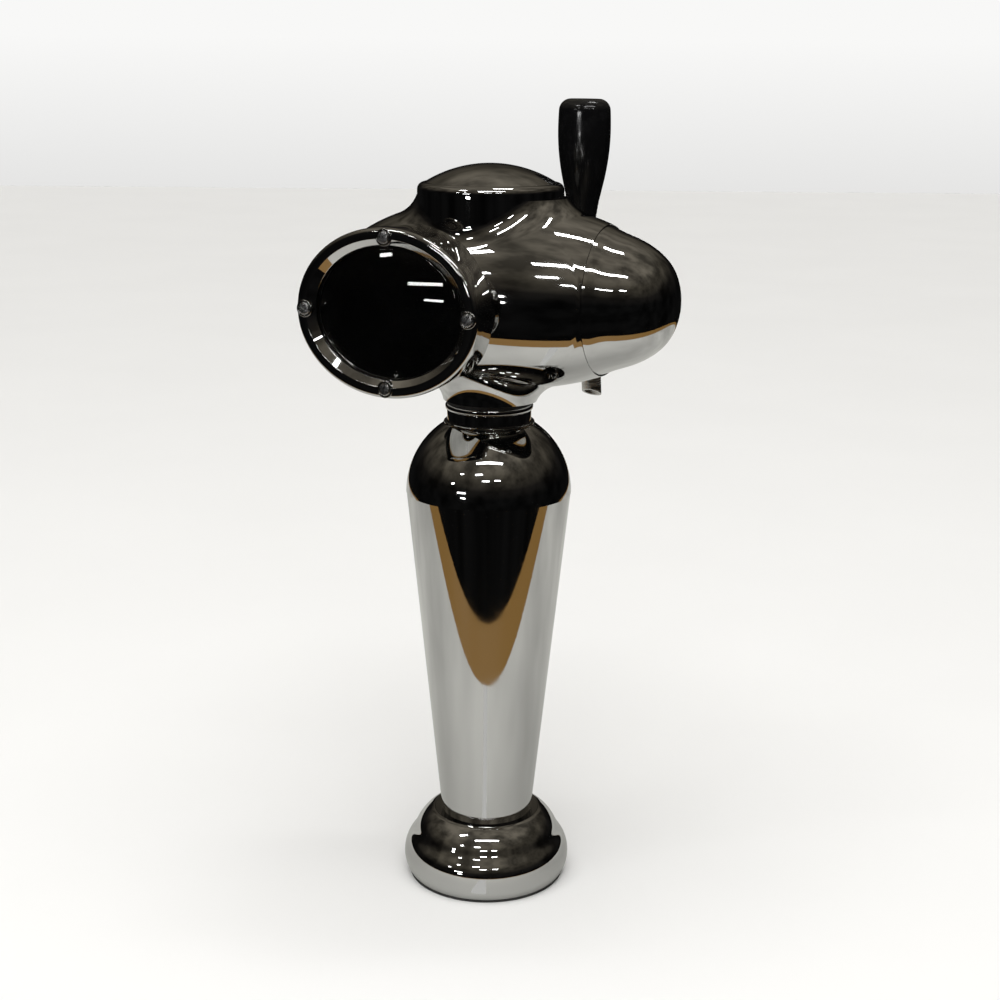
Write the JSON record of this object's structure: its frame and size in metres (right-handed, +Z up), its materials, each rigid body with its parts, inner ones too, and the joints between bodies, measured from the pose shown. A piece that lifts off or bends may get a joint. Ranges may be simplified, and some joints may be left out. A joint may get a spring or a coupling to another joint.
{
  "type": "beer tower dispenser",
  "caption": "Chromed drinks tower with a tapered column, a barrel-shaped head with an oval badge place, and a lever tap with a black handle.",
  "frame": {"origin": "centre of the foot's four fixing holes, on the plane of the counter", "axes": "+Z up along the column; -Y is the side of the badge, +Y the side of the tap; X along the barrel of the head, +X to its removable end dome"},
  "size_m": [0.2235, 0.2148, 0.489],
  "materials": {
    "chrome_plate": "mirror polished chromium plate",
    "stainless": "fine turned stainless steel",
    "screw_steel": "bright steel screws",
    "brass_plain": "plain machined brass",
    "rubber_black": "matt black rubber",
    "black_moulding": "matt black moulding",
    "badge_black": "plain gloss black disc",
    "clear_lens": "clear domed lens",
    "handle_black": "gloss black moulding",
    "white_moulding": "white low-friction plastic",
    "line_clear": "milky food-grade tube",
    "foam": "cut foam"
  },
  "bodies": {
    "tower": {"foot_gasket": "rubber_black", "foot_flange": "chrome_plate", "column_shell": "chrome_plate", "column_nut": "brass_plain", "neck_tube": "brass_plain", "neck_ring": "chrome_plate", "neck_seal": "rubber_black", "neck_nut": "brass_plain", "head_body": "chrome_plate", "top_cap": "chrome_plate", "top_cap_seal": "rubber_black", "end_dome": "chrome_plate", "end_dome_seal": "rubber_black", "dome_lock_screw": "screw_steel", "badge_carrier": "black_moulding", "badge_disc": "badge_black", "lens_seal": "rubber_black", "badge_lens": "clear_lens", "bezel_ring": "chrome_plate", "bezel_screws": "screw_steel", "tap_shank": "stainless", "shank_washer": "stainless", "shank_nut": "brass_plain", "rosette_seal": "rubber_black", "shank_rosette": "chrome_plate", "tap_seal": "rubber_black", "union_nut": "chrome_plate", "tap_body": "chrome_plate", "tap_plug": "chrome_plate", "spout": "stainless", "flow_lever_seal": "rubber_black", "flow_lever_gland": "stainless", "lever_seat_lower": "white_moulding", "lever_seat_upper": "white_moulding", "bonnet_nut": "chrome_plate", "elbow_connector": "black_moulding", "beer_line": "line_clear", "cooling_loop": "stainless", "insulation_core": "foam"},
    "lever": {"tap_lever": "stainless", "handle_ferrule": "chrome_plate", "tap_handle": "handle_black"},
    "piston": {"piston": "stainless", "piston_seals": "rubber_black"},
    "flow_lever": {"flow_lever": "stainless"},
    "flow_cone": {"flow_cone": "white_moulding"}
  },
  "joints": [
    {"name": "lever_tilt", "type": "hinge", "parent": "tower", "child": "lever", "pos_m": [0.019, 0.103, 0.39295], "axis": [-1, 0, 0], "range_deg": [-12, 30]},
    {"name": "piston_slide", "type": "slide", "parent": "tower", "child": "piston", "axis": [0, -1, 0], "range_m": [-0.0029, 0.00725]},
    {"name": "flow_turn", "type": "hinge", "parent": "tower", "child": "flow_lever", "pos_m": [0.019, 0.0815, 0.37695], "axis": [1, 0, 0], "range_deg": [0, 90]},
    {"name": "flow_cone_slide", "type": "slide", "parent": "tower", "child": "flow_cone", "axis": [0, 1, 0], "range_m": [0, 0.00213]}
  ],
  "couplings": [
    {"joint": "piston_slide", "follows": "lever_tilt", "m_per_rad": 0.013846},
    {"joint": "flow_cone_slide", "follows": "flow_turn", "m_per_rad": 0.00135}
  ]
}
